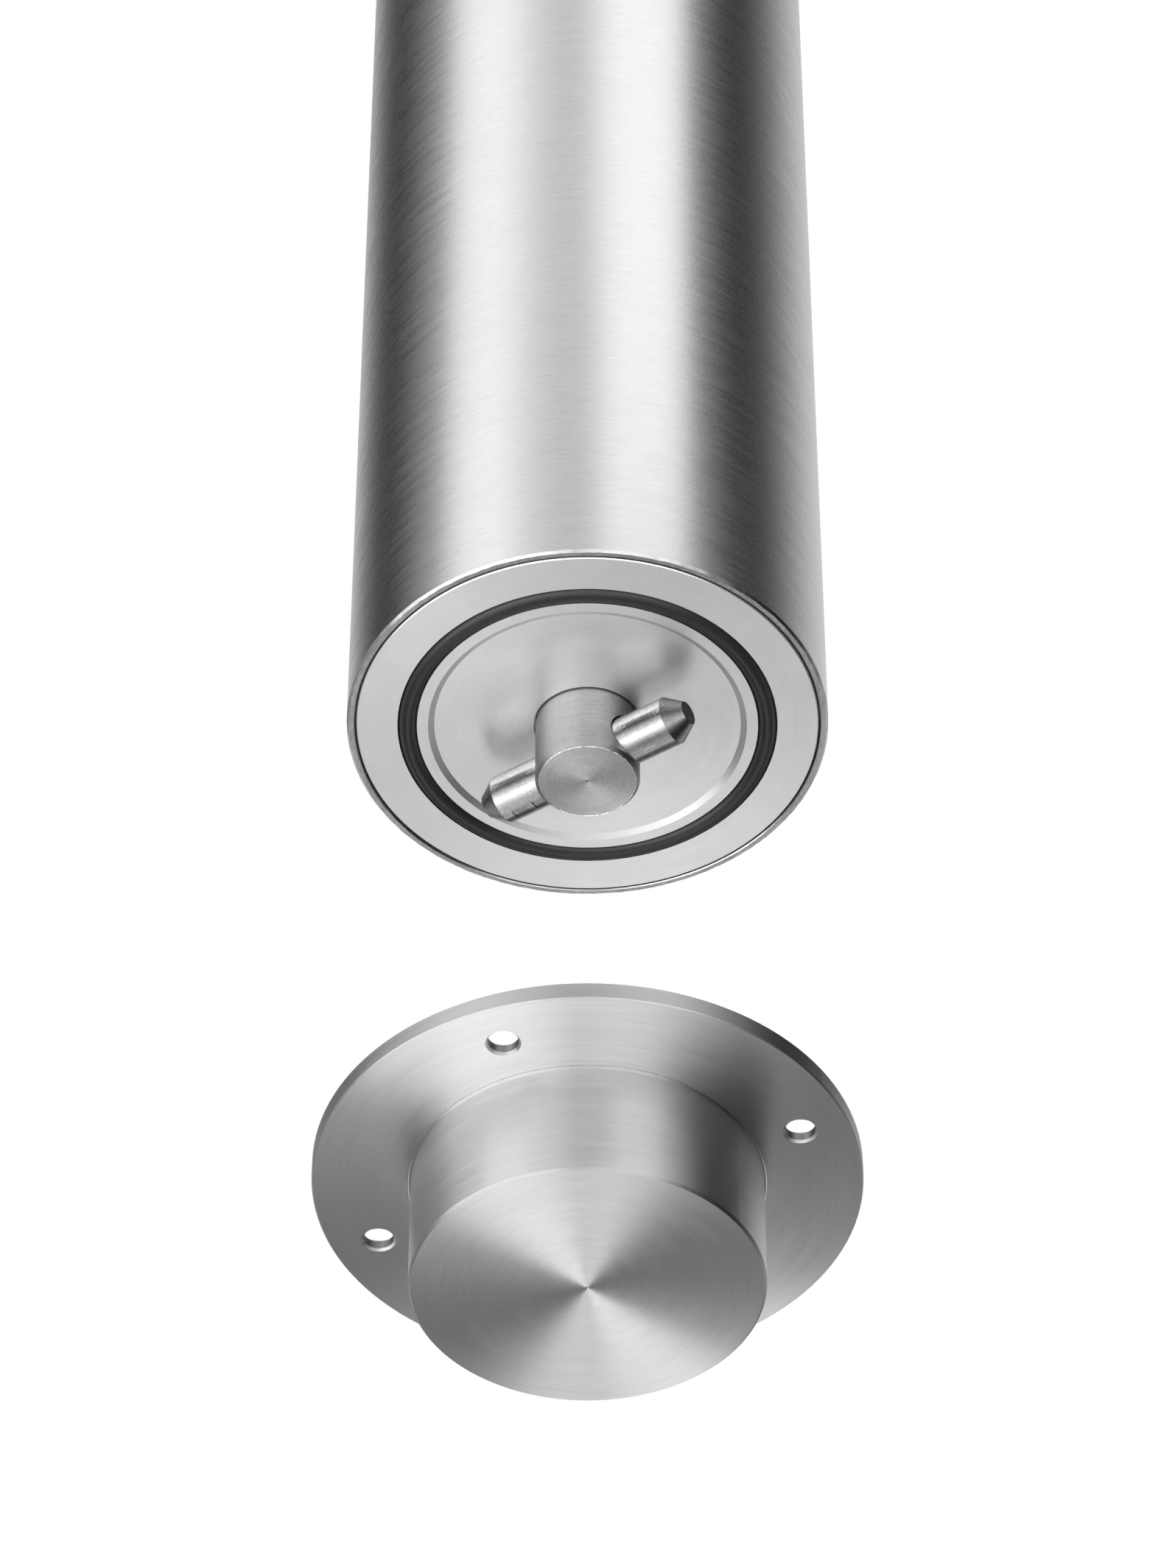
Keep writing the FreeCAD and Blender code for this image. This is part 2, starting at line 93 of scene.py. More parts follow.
# The axis that a piece was turned round, and what is left of a place across it
AXES = {"Z": ((0, 0, 1), (1, 1, 0)), "X": ((1, 0, 0), (0, 1, 1))}
# The tool's marks come in two widths: these are the broad ones' width, length and tone over the fine ones'
BROAD_WIDTH = 7
BROAD_LENGTH = 2.5
BROAD_TONE = 0.7
# Height counts for more than radius, so that a bevel's marks differ from its neighbours'
HEIGHT_SHARE = 1.7
# How steep a bevel and an end face are, from 0 on a wall to 1 square to the axis
BEVEL_FROM = 0.25
FACE_FROM = 0.9
# Edges that turn by more than this stay sharp
SHARP = math.radians(20)

# Marks of use on the cross pin, and a painted dark reflection: mm along it, degrees round it from its underside,
# length, width and tone. The fine ones are 0.2 mm wide and are drawn a little wider, so that they show. The two
# long dark bands at
# -75 degrees are no marks of use but painted dark reflection
PIN_SCARS_AND_REFLECTION = (
    (15.8, -3, 3.1, 0.3, 1.7),
    (15.8, 22, 3.1, 0.3, 1.9),
    (19.4, 20, 2.4, 0.3, 1.8),
    (-18.8, 8, 0.4, 2.7, 0.08),
    (-13.8, 8, 0.4, 3.0, 0.08),
    (-16.9, 8, 3.8, 2.5, 0.7),
    (-12.3, 8, 3.0, 2.7, 0.72),
    # Painted dark reflection: two long dark bands round the pin's lower side
    (16.1, -75, 11.0, 1.7, 0.3),
    (-16.1, -75, 11.0, 1.7, 0.4),
)

# Lit cards, and how bright each is where 1 is white
CARD_GLOWS = {
    "near_right_floor_card": 1.25,
    "near_left_floor_card": 1.65,
    "low_left_card": 5.2,
    "low_middle_card": 2.0,
    "low_right_card": 3.6,
    "middle_card": 1.4,
    "half_card": 0.5,
    "far_floor_card": 1.6,
}

# Cards that bow round the axis. Each has its two ends in degrees right of the camera, its lower and upper edge,
# its radius, how many degrees it thins out over at either end, and its finish
BOWED_CARDS = (
    ("left_card", -137, -62, 0.15, 3.2, 1.0, 4, 34, "grey_card"),
    ("right_card", 42, 129, -0.9, 3.2, 1.0, 24, 34, "grey_card"),
    ("horizon_card", -100, 20, 0.05, 0.34, 1.05, 10, 10, "grey_card"),
    ("far_card", 140, 210, -0.98, 0.55, 2.0, 10, 10, "grey_card"),
    ("half_card", -13, 75, 0.12, 0.272, 0.3, 3, 20, "half_card"),
    ("low_left_card", -112, -13, -1.1, -0.7, 1.2, 20, 0, "low_left_card"),
    ("low_middle_card", -13, 1, -1.1, -0.7, 1.2, 0, 0, "low_middle_card"),
    ("low_right_card", 1, 60, -1.1, -0.7, 1.2, 0, 20, "low_right_card"),
    ("mid_left_card", -95, -5, -0.7, -0.15, 1.2, 12, 0, "middle_card"),
    ("mid_right_card", -5, 60, -0.7, -0.15, 1.2, 0, 20, "middle_card"),
)

# Cards that lie over the floor and spread from a point beyond the post. Each has that point's place right of the
# axis, its two edges in degrees right of straight ahead, its reach, its height over the floor, how many degrees
# it thins out over, and its finish
FLOOR_CARDS = (
    ("far_floor", 0.0, -17, 41, 6.0, 0.03, 12, "far_floor_card"),
    ("near_left_floor", 0.0, 184, 222, 2.4, 0.03, 8, "near_left_floor_card"),
    ("near_right_floor", 0.0, 160, 184, 2.4, 0.03, 8, "near_right_floor_card"),
    ("left_floor_card", -0.06, -12, -139, 2.8, 0.06, 20, "dark_card"),
    ("right_floor_card", 0.06, 33, 164, 2.8, 0.06, 20, "dark_card"),
)
# How far beyond the post that point lies, which is where the flat faces mirror the floor
FLOOR_CARDS_AWAY = 1.15
# A floor card starts this far from the point, and has its full cover from the second distance on
FLOOR_CARD_START = 0.02
FLOOR_CARD_FULL = 0.16


def linear(code):
    """A colour written as sRGB hex, in the linear light that the shaders take."""
    parts = [int(code[place:place + 2], 16) / 255 for place in (1, 3, 5)]
    return (*(part / 12.92 if part <= 0.04045 else ((part + 0.055) / 1.055) ** 2.4 for part in parts), 1.0)


def colour(code, name, description):
    """A colour that the user can change."""
    return bpy.props.FloatVectorProperty(
        name=name, description=description, subtype="COLOR", size=4, min=0, max=1, default=linear(code))


def length(default, name, description, **limits):
    """A size that the user can change."""
    return bpy.props.FloatProperty(
        name=name, description=description, subtype="DISTANCE", unit="LENGTH", precision=5, default=default,
        **limits)


class TubeSettings(bpy.types.PropertyGroup):
    """Sizes and colours of the post's tube."""

    diameter: length(0.1016, "Diameter", "Outside of the tube")
    wall: length(0.0016, "Wall", "Thickness of the tube's wall")
    bevel: length(0.0005, "Bevel", "Bevel round the outside of the foot")
    inner_bevel: length(0.0002, "Inner bevel", "Bevel inside the foot")
    ragged: length(0.00004, "Ragged edge", "How far the sawn edge wanders")
    segments: bpy.props.IntProperty(
        name="Segments", description="Facets round the tube", default=320, min=64, max=640)
    steel: colour("#c1c1c1", "Steel", "Brushed stainless steel")
    sawn: colour("#b4b4b4", "Sawn end", "Sawn end of the tube")


class PlugSettings(bpy.types.PropertyGroup):
    """Colours of the foot's closing plug and of the seals."""

    steel: colour("#f4f4f4", "Steel", "Faced stainless steel")
    rubber: colour("#313135", "Rubber", "Rubber of the seals")


class LockSettings(bpy.types.PropertyGroup):
    """Colours of the turning lock, and the size of its burr."""

    spindle: colour("#c8c8c8", "Spindle", "Turned stainless steel")
    pin: colour("#b8b8b8", "Pin", "Ground steel")
    # The burr's brighter colour is a painted highlight
    edge: colour("#f2f2f2", "Edge", "Bright burr round the spindle's end")
    burr: length(0.0002, "Burr", "Thickness of the fine burr round the spindle's end")


class SocketSettings(bpy.types.PropertyGroup):
    """Colours of the floor socket."""

    steel: colour("#cdcdce", "Steel", "Turned stainless steel")
    # Painted light: the plate is a lighter copy of the cup's steel
    plate: colour("#d8d8d9", "Plate", "Turned stainless plate")
    weld: colour("#dcdcdc", "Weld", "Fine weld under the flange")


class InnerSettings(bpy.types.PropertyGroup):
    """Colours of what the tube hides."""

    rod: colour("#a9a8a6", "Rod", "Drawn steel tube")
    bronze: colour("#b08a5a", "Bronze", "Sintered bronze")
    plastic: colour("#2c2d2f", "Plastic", "Moulded nylon")


class StageSettings(bpy.types.PropertyGroup):
    """Camera, floor and cards."""

    azimuth: bpy.props.FloatProperty(
        name="Azimuth", description="Way the camera looks, from +Y towards -X", subtype="ANGLE",
        default=math.radians(33.4))
    pitch: bpy.props.FloatProperty(
        name="Pitch", description="How far up the camera looks", subtype="ANGLE",
        default=math.radians(45.138))
    distance: length(0.8767, "Distance", "Camera from the axis, along the floor")
    height: length(-0.7693, "Height", "Camera over the flange's underside")
    lens: bpy.props.FloatProperty(
        name="Lens", description="Focal length in mm for a 36 mm long side", default=136.5, min=10)
    floor_height: length(-1.15, "Floor level", "Floor over the flange's underside")
    floor: colour("#eeeeee", "Floor", "Pale floor")
    card: colour("#3c3c3c", "Card", "Grey cards that the steel mirrors")
    dark_card: colour("#181818", "Dark card", "Dark cards on the floor that the steel mirrors")


def settings(part):
    """The user's settings for one part of the scene."""
    return getattr(bpy.context.scene, "barrier_" + part)


def add(tree, kind, links=None, **values):
    """Adds a node. links fills its inputs with values or other nodes' outputs, values sets its settings."""
    made = tree.nodes.new(kind)
    for name, value in values.items():
        setattr(made, name, value)
    for name, value in (links or {}).items():
        if isinstance(value, bpy.types.NodeSocket):
            tree.links.new(value, made.inputs[name])
        else:
            made.inputs[name].default_value = value
    return made


def empty_material(name):
    """A material with an empty node tree."""
    made = bpy.data.materials.new(name)
    made.use_nodes = True
    made.node_tree.nodes.clear()
    return made, made.node_tree


def centred_place(tree, centre):
    """Place on the piece in metres, from its own centre."""
    place = add(tree, "ShaderNodeTexCoord").outputs["Object"]
    return add(tree, "ShaderNodeVectorMath", {0: place, 1: centre}, operation="SUBTRACT").outputs[0]


def across(tree, place, axis):
    """What is left of a place across the axis, and how far from the axis that is."""
    flat = add(tree, "ShaderNodeVectorMath", {0: place, 1: AXES[axis][1]}, operation="MULTIPLY").outputs[0]
    return flat, add(tree, "ShaderNodeVectorMath", {0: flat}, operation="LENGTH").outputs["Value"]


def grain_tangent(tree, place, line):
    """Unit direction of the tool's path round an axis, for the shader's own tangent."""
    around = add(tree, "ShaderNodeVectorMath", {0: line, 1: place}, operation="CROSS_PRODUCT")
    turned = add(tree, "ShaderNodeVectorTransform", {0: around.outputs[0]},
                 vector_type="VECTOR", convert_from="OBJECT", convert_to="WORLD")
    return add(tree, "ShaderNodeVectorMath", {0: turned.outputs[0]}, operation="NORMALIZE").outputs[0]


def cut_place(tree, place, axis, round_scale, cut_scale):
    """Coordinates for marks that run round an axis: round_scale marks to the radian, cut_scale to the metre."""
    line = AXES[axis][0]
    flat, radius = across(tree, place, axis)
    way = add(tree, "ShaderNodeVectorMath", {0: flat}, operation="NORMALIZE").outputs[0]
    up = add(tree, "ShaderNodeVectorMath", {0: place, 1: line}, operation="DOT_PRODUCT").outputs["Value"]
    cut = add(tree, "ShaderNodeMath", {0: up, 1: HEIGHT_SHARE, 2: radius}, operation="MULTIPLY_ADD").outputs[0]
    around = add(tree, "ShaderNodeVectorMath", {0: way, "Scale": round_scale}, operation="SCALE").outputs[0]
    stretched = add(tree, "ShaderNodeMath", {0: cut, 1: cut_scale}, operation="MULTIPLY").outputs[0]
    along = add(tree, "ShaderNodeVectorMath", {0: line, "Scale": stretched}, operation="SCALE").outputs[0]
    return add(tree, "ShaderNodeVectorMath", {0: around, 1: along}, operation="ADD").outputs[0]


def cloud(tree, where, low, high, size=1.0, detail=3.0, roughness=0.5, middle=0.2):
    """Noise of a size, in the unit of its coordinates, spread from low to high. middle is how far from its
    average the noise reaches them."""
    made = add(tree, "ShaderNodeTexNoise", {
        "Vector": where, "Scale": 1 / size, "Detail": detail, "Roughness": roughness})
    return add(tree, "ShaderNodeMapRange", {
        "Value": made.outputs[0], "From Min": 0.5 - middle, "From Max": 0.5 + middle,
        "To Min": low, "To Max": high}).outputs[0]


def marks(tree, where, low, high, detail=3.0):
    """The tool's marks at those coordinates, spread from low to high."""
    return cloud(tree, where, low, high, detail=detail, roughness=0.6)


def all_of(tree, patterns):
    """Patterns multiplied with each other."""
    result = patterns[0]
    for pattern in patterns[1:]:
        result = add(tree, "ShaderNodeMath", {0: result, 1: pattern}, operation="MULTIPLY").outputs[0]
    return result


def steepness(tree, line):
    """0 on the walls that run along an axis, 1 on the faces square to it."""
    facing = add(tree, "ShaderNodeNewGeometry").outputs["True Normal"]
    normal = add(tree, "ShaderNodeVectorTransform", {0: facing},
                 vector_type="NORMAL", convert_from="WORLD", convert_to="OBJECT").outputs[0]
    upward = add(tree, "ShaderNodeVectorMath", {0: normal, 1: line}, operation="DOT_PRODUCT").outputs["Value"]
    return add(tree, "ShaderNodeMath", {0: upward}, operation="ABSOLUTE").outputs[0]


def painted_shade_by_face(tree, line, wall, bevel, face):
    """Painted shade by facing: how bright the metal is painted on its walls, on its bevels and on its end faces,
    standing in for how the light falls on each.
    """
    ramp = add(tree, "ShaderNodeValToRGB", {0: steepness(tree, line)})
    ramp.color_ramp.interpolation = "CONSTANT"
    ramp.color_ramp.elements[0].color = (wall, wall, wall, 1)
    ramp.color_ramp.elements[1].position = FACE_FROM
    ramp.color_ramp.elements[1].color = (face, face, face, 1)
    ramp.color_ramp.elements.new(BEVEL_FROM).color = (bevel, bevel, bevel, 1)
    return ramp.outputs[0]


def painted_hole_shade(tree, place, axis, reach, tone):
    """Painted shade on the upright walls within reach of an axis, in mm, darkened to tone."""
    steep = steepness(tree, AXES[axis][0])
    radius = across(tree, place, axis)[1]
    near = add(tree, "ShaderNodeMath", {0: radius, 1: reach * MM}, operation="LESS_THAN").outputs[0]
    wall = add(tree, "ShaderNodeMath", {0: steep, 1: BEVEL_FROM}, operation="LESS_THAN").outputs[0]
    shaded_walls = all_of(tree, [near, wall])
    return add(tree, "ShaderNodeMapRange", {"Value": shaded_walls, "To Min": 1.0, "To Max": tone}).outputs[0]


def scar_and_reflection_patterns(tree, place, radius, scars_and_reflection):
    """Dents, worn streaks and bands of painted dark reflection on a pin along X, a pattern for each, which fades
    out over a torn edge.
    """
    split = add(tree, "ShaderNodeSeparateXYZ", {0: place})
    under = add(tree, "ShaderNodeMath", {0: split.outputs["Z"], 1: -1.0}, operation="MULTIPLY").outputs[0]
    turn = add(tree, "ShaderNodeMath", {0: split.outputs["Y"], 1: under}, operation="ARCTAN2").outputs[0]
    arc = add(tree, "ShaderNodeMath", {0: turn, 1: radius * MM}, operation="MULTIPLY").outputs[0]
    ragged = cloud(tree, place, -0.25, 0.35, size=0.4 * MM)
    patterns = []
    for along, degrees, long, wide, tone in scars_and_reflection:
        distances = []
        for value, middle, size in ((split.outputs["X"], along, long),
                                    (arc, math.radians(degrees) * radius, wide)):
            off = add(tree, "ShaderNodeMath", {0: value, 1: middle * MM}, operation="SUBTRACT").outputs[0]
            gap = add(tree, "ShaderNodeMath", {0: off}, operation="ABSOLUTE").outputs[0]
            share = add(tree, "ShaderNodeMath", {0: gap, 1: size * MM / 2}, operation="DIVIDE").outputs[0]
            distances.append(share)
        edge = add(tree, "ShaderNodeMath", dict(enumerate(distances)), operation="MAXIMUM").outputs[0]
        torn = add(tree, "ShaderNodeMath", {0: edge, 1: ragged}, operation="ADD").outputs[0]
        patterns.append(add(tree, "ShaderNodeMapRange", {
            "Value": torn, "From Min": 0.6, "From Max": 1.1, "To Min": tone, "To Max": 1.0}).outputs[0])
    return patterns


def steel(name, base, roughness, spread, grain, long, radius, axis="Z", tone=0.06, bump=0.5, anisotropy=0.8,
          patches=0.0, patch_size=11.0, shade_by_facing=None, centre=(0, 0, 0), scars_and_reflection=(), hole_shade=None):
    """Machined metal, its sizes in mm. grain is the width of its marks and long their length at that radius.
    tone is how far they stand out, patches how far the metal clouds over and patch_size the clouds' width."""
    material, tree = empty_material(name)
    place = centred_place(tree, centre)
    line = AXES[axis][0]
    fine = cut_place(tree, place, axis, radius / long, 1 / (grain * MM))
    broad = cut_place(tree, place, axis, radius / (long * BROAD_LENGTH), 1 / (grain * MM * BROAD_WIDTH))
    patterns = [marks(tree, fine, 1 - tone, 1 + tone),
                marks(tree, broad, 1 - BROAD_TONE * tone, 1 + BROAD_TONE * tone)]
    if patches:
        patterns.append(cloud(tree, place, 1 - patches, 1 + patches, size=patch_size * MM, detail=4.0,
                              roughness=0.65, middle=0.15))
    # Painted shade and light by the way each face looks
    if shade_by_facing:
        patterns.append(painted_shade_by_face(tree, line, *shade_by_facing))
    if scars_and_reflection:
        patterns += scar_and_reflection_patterns(tree, place, radius, scars_and_reflection)
    if hole_shade:
        patterns.append(painted_hole_shade(tree, place, axis, *hole_shade))
    tint = all_of(tree, patterns)
    grey = add(tree, "ShaderNodeCombineColor", {0: tint, 1: tint, 2: tint})
    mixed = add(tree, "ShaderNodeMix", {"Factor": 1.0, "A": base, "B": grey.outputs[0]},
                data_type="RGBA", blend_type="MULTIPLY")
    height = marks(tree, fine, 0.0, 1.0, detail=4.0)
    bumped = add(tree, "ShaderNodeBump", {"Strength": bump, "Distance": MARK_HEIGHT, "Height": height})
    # The quarter turn lays the streaks of light across the tool's path
    shader = add(tree, "ShaderNodeBsdfPrincipled", {
        "Base Color": mixed.outputs["Result"], "Metallic": 1.0,
        "Roughness": marks(tree, broad, roughness - spread, roughness + spread),
        "Anisotropic": anisotropy, "Anisotropic Rotation": 0.25, "Normal": bumped.outputs[0],
        "Tangent": grain_tangent(tree, place, line)})
    add(tree, "ShaderNodeOutputMaterial", {"Surface": shader.outputs[0]})
    return material


def moulded(name, base, ior, dull_low, dull_high, skin, bloom):
    """Moulded rubber or plastic. skin and bloom are the sizes in mm of its bumps and of its duller patches."""
    material, tree = empty_material(name)
    place = add(tree, "ShaderNodeTexCoord").outputs["Object"]
    height = cloud(tree, place, 0.0, 1.0, size=skin * MM, middle=0.5)
    bumped = add(tree, "ShaderNodeBump", {"Strength": 0.3, "Distance": MARK_HEIGHT, "Height": height})
    shader = add(tree, "ShaderNodeBsdfPrincipled", {
        "Base Color": base, "Roughness": cloud(tree, place, dull_low, dull_high, size=bloom * MM, middle=0.5),
        "IOR": ior, "Normal": bumped.outputs[0]})
    add(tree, "ShaderNodeOutputMaterial", {"Surface": shader.outputs[0]})
    return material


def dress(names, material):
    """Gives CAD nodes their finish."""
    for name in names:
        for slot in nodes[name].material_slots:
            slot.material = material


def linked(name, data):
    """A new object in the scene."""
    made = bpy.data.objects.new(name, data)
    bpy.context.scene.collection.objects.link(made)
    return made


def turned_mesh(name, profile, segments, wander):
    """A closed ring turned about Z from (radius, height) corners, smooth round and sharp at its corners."""
    mesh = bpy.data.meshes.new(name)
    work = bmesh.new()
    rings = []
    for corner, (radius, height) in enumerate(profile):
        ring = []
        for step in range(segments):
            angle = 2 * math.pi * step / segments
            out, up = wander(corner, step)
            reach = radius + out
            ring.append(work.verts.new((reach * math.cos(angle), reach * math.sin(angle), height + up)))
        rings.append(ring)
    for corner, ring in enumerate(rings):
        following = rings[(corner + 1) % len(rings)]
        for step in range(segments):
            ahead = (step + 1) % segments
            face = work.faces.new((ring[step], ring[ahead], following[ahead], following[step]))
            face.smooth = True
    bmesh.ops.recalc_face_normals(work, faces=work.faces)
    for edge in work.edges:
        edge.smooth = edge.calc_face_angle(0.0) < SHARP
    work.to_mesh(mesh)
    work.free()
    return linked(name, mesh)


def ragged_ring(name, radius, height, thickness, seed):
    """A fine ragged ring that lies against a turned edge."""
    segments = 360
    chance = random.Random(seed)
    rough = [chance.choice((0.1, 0.5, 1.0)) for step in range(segments)]
    half = thickness / 2
    profile = [(radius, height - half), (radius + half, height), (radius, height + half), (radius - half, height)]

    def wander(corner, step):
        """It comes and goes along the edge."""
        swell = half * (rough[step] - 1)
        return ((0.0, -swell), (swell, 0.0), (0.0, 0.0), (-swell, 0.0))[corner]

    return turned_mesh(name, profile, segments, wander)


class BARRIER_OT_tube(bpy.types.Operator):
    """Turn the post's tube and give it its brushed finish"""

    bl_idname = "barrier.tube"
    bl_label = "Tube"

    def execute(self, context):
        sizes = settings("tube")
        outer = sizes.diameter / 2
        bore = outer - sizes.wall
        top = TUBE_HIGH.z
        chance = random.Random(4)
        end_edge, wall_edge, bore_edge = [
            [chance.uniform(-1, 1) * sizes.ragged for step in range(sizes.segments)] for corner in range(3)]

        def wander(corner, step):
            """The sawn end's bevels aren't quite even, and the outer one is the more ragged."""
            if corner == 0:
                return bore_edge[step], 0.0
            if corner == 1:
                return end_edge[step] * 2, 0.0
            if corner == 2:
                return 0.0, wall_edge[step] * 2
            return 0.0, 0.0

        profile = [
            (bore + sizes.inner_bevel, FOOT), (outer - sizes.bevel, FOOT), (outer, FOOT + sizes.bevel),
            (outer, top), (bore, top), (bore, FOOT + sizes.inner_bevel)]
        tube = turned_mesh("brushed_post_tube", profile, sizes.segments, wander)
        # Satin-brushed stainless steel, grit 240 drawn round the tube: reflections stay narrow round it and long
        # up it. The scratches are finer than 0.1 mm and are drawn 0.35 mm wide, so that they show
        brushed = steel("brushed_stainless_steel", tuple(sizes.steel), roughness=0.28, spread=0.03, grain=0.35,
                        long=6.0, radius=50.8, tone=0.06, bump=0.7, anisotropy=0.9, patches=0.01)
        # Sawn and deburred end: the blade leaves it duller, with mottled bright flecks
        sawn = steel("sawn_stainless_steel", tuple(sizes.sawn), roughness=0.42, spread=0.08, grain=0.5, long=1.2,
                     radius=50.0, tone=0.2, bump=0.8, anisotropy=0.0, patches=0.1)
        tube.data.materials.append(brushed)
        tube.data.materials.append(sawn)
        for face in tube.data.polygons:
            if abs(face.normal.z) > FACE_FROM and face.center.z < FOOT + MM:
                face.material_index = 1
        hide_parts("post_tube")
        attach(tube, "post")
        dress(["top_cap"], brushed)
        return {"FINISHED"}


class BARRIER_OT_plug(bpy.types.Operator):
    """Finish the plug that closes the foot, and the seals"""

    bl_idname = "barrier.plug"
    bl_label = "Foot plug and seals"

    def execute(self, context):
        chosen = settings("plug")
        # Faced stainless steel, blasted lightly: pale satin with only a trace of the turning
        faced = steel("faced_stainless_steel", tuple(chosen.steel), roughness=0.42, spread=0.03, grain=0.4,
                      long=14.0, radius=40.0, tone=0.02, bump=0.12, anisotropy=0.25, patches=0.02)
        dress(["foot_plug"], faced)
        # Nitrile rubber, moulded: dark and dull, with a soft shine along the cord
        rubber = moulded("moulded_nitrile_rubber", tuple(chosen.rubber), ior=1.52, dull_low=0.34, dull_high=0.44,
                         skin=0.4, bloom=8.3333)
        dress(["face_seal", "spindle_seal", "cap_seal"], rubber)
        return {"FINISHED"}


class BARRIER_OT_lock(bpy.types.Operator):
    """Finish the turning lock: spindle, cross pin and key head"""

    bl_idname = "barrier.lock"
    bl_label = "Turning lock"

    def execute(self, context):
        chosen = settings("lock")
        # Turned stainless bar: fine rings from the lathe, with painted shade darkening its wall and more so its
        # coarse bevel
        turned = steel("turned_stainless_bar", tuple(chosen.spindle), roughness=0.42, spread=0.05, grain=0.3,
                       long=9.0, radius=8.0, tone=0.10, bump=0.6, anisotropy=0.6, patches=0.06, patch_size=1.0,
                       shade_by_facing=(0.67, 0.5, 1.0))
        dress(["lock_spindle", "key_head"], turned)
        # Ground pins: bright barrels, worn and dented where they meet the slot, with painted shade darkening their
        # cones and ends. The cross pin also carries two bands of painted dark reflection
        for name, scars_and_reflection in (("cross_pin", PIN_SCARS_AND_REFLECTION), ("lower_rod_pin", ()), ("upper_rod_pin", ())):
            low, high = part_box(name)
            ground = steel(f"ground_steel_{name}", tuple(chosen.pin), roughness=0.34, spread=0.04, grain=0.35,
                           long=3.0, radius=(high.z - low.z) / 2 / MM, axis="X", tone=0.06, bump=0.3,
                           anisotropy=0.4, patches=0.14, patch_size=0.6, shade_by_facing=(1.0, 0.5, 0.15),
                           centre=(low + high) / 2, scars_and_reflection=scars_and_reflection)
            dress([name], ground)
        low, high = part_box("stop_pin")
        stop = steel("ground_steel_stop_pin", tuple(chosen.pin), roughness=0.27, spread=0.05, grain=0.35, long=6.0,
                     radius=2.5, tone=0.08, centre=(low + high) / 2)
        dress(["stop_pin"], stop)
        burr = ragged_ring("spindle_burr", SPINDLE_EDGE, SPINDLE_END + BURR_RISE, chosen.burr, 7)
        # The same bar: the lathe's turned-over edge is real, and its brighter colour is a painted highlight
        burr_highlight = steel("burr_edge_painted_highlight", tuple(chosen.edge), roughness=0.3, spread=0.05, grain=0.5, long=1.0,
                            radius=10.0, tone=0.3, anisotropy=0.0)
        burr.data.materials.append(burr_highlight)
        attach(burr, "lock")
        return {"FINISHED"}


class BARRIER_OT_socket(bpy.types.Operator):
    """Finish the floor socket: flange, cup and the weld between them"""

    bl_idname = "barrier.socket"
    bl_label = "Floor socket"

    def execute(self, context):
        chosen = settings("socket")
        # Turned stainless plate and cup: fine rings that gather the light in a bow tie. Painted shade darkens the
        # plate's upright walls and bevels and the cup's bevels, and more painted shade the plate's upright walls
        # near the axis, its screw hole walls among them. The plate's steel is a lighter copy of the cup's, as
        # painted light
        for name, base, rough, shade_by_facing, hole_shade in (
                ("floor_flange", chosen.plate, 0.48, (0.68, 0.85, 1.0), (53.0, 0.55)),
                ("socket_cup", chosen.steel, 0.42, (1.0, 0.78, 1.0), None)):
            turned = steel(f"turned_stainless_{name}", tuple(base), roughness=rough, spread=0.04, grain=0.33,
                           long=12.0, radius=40.0, tone=0.05, bump=0.4, anisotropy=0.95, shade_by_facing=shade_by_facing,
                           hole_shade=hole_shade)
            dress([name], turned)
        # Fine stainless weld, left bright by the torch
        weld = steel("bright_stainless_weld", tuple(chosen.weld), roughness=0.3, spread=0.05, grain=0.5, long=1.0,
                     radius=35.0, tone=0.15, bump=0.6, anisotropy=0.0)
        dress(["cup_weld"], weld)
        return {"FINISHED"}


class BARRIER_OT_inner(bpy.types.Operator):
    """Finish what the tube hides: rod, guide, bushes and washer"""

    bl_idname = "barrier.inner"
    bl_label = "Inner parts"

    def execute(self, context):
        chosen = settings("inner")
        # Cold-drawn steel tube: fine lines, dull
        drawn = steel("drawn_steel_tube", tuple(chosen.rod), roughness=0.4, spread=0.05, grain=0.6, long=30.0,
                      radius=10.0, tone=0.08)
        dress(["drive_rod"], drawn)
        # Sintered bronze: warm, slightly porous
        bronze = steel("sintered_bronze", tuple(chosen.bronze), roughness=0.42, spread=0.06, grain=0.4, long=2.0,
                       radius=12.0, tone=0.15, anisotropy=0.2)
        dress(["spindle_bush", "thrust_washer"], bronze)
        # Moulded nylon: black-grey with a fine skin
        nylon = moulded("moulded_nylon", tuple(chosen.plastic), ior=1.53, dull_low=0.35, dull_high=0.5,
                        skin=0.66667, bloom=0.66667)
        dress(["rod_guide", "key_bush"], nylon)
        return {"FINISHED"}


def from_camera(right, away, up):
    """A place given as seen by the camera: right of the axis, away beyond it, up from the ground."""
    turn = settings("stage").azimuth
    return Vector((right * math.cos(turn) - away * math.sin(turn),
                   right * math.sin(turn) + away * math.cos(turn), up))


def background_rays(tree):
    """1 for what the camera sees straight, mirrored or through glass, 0 for the light that falls on things."""
    path = add(tree, "ShaderNodeLightPath").outputs
    straight = add(tree, "ShaderNodeMath", {0: path["Is Camera Ray"], 1: path["Is Glossy Ray"]},
                   operation="MAXIMUM").outputs[0]
    return add(tree, "ShaderNodeMath", {0: straight, 1: path["Is Transmission Ray"]},
               operation="MAXIMUM").outputs[0]


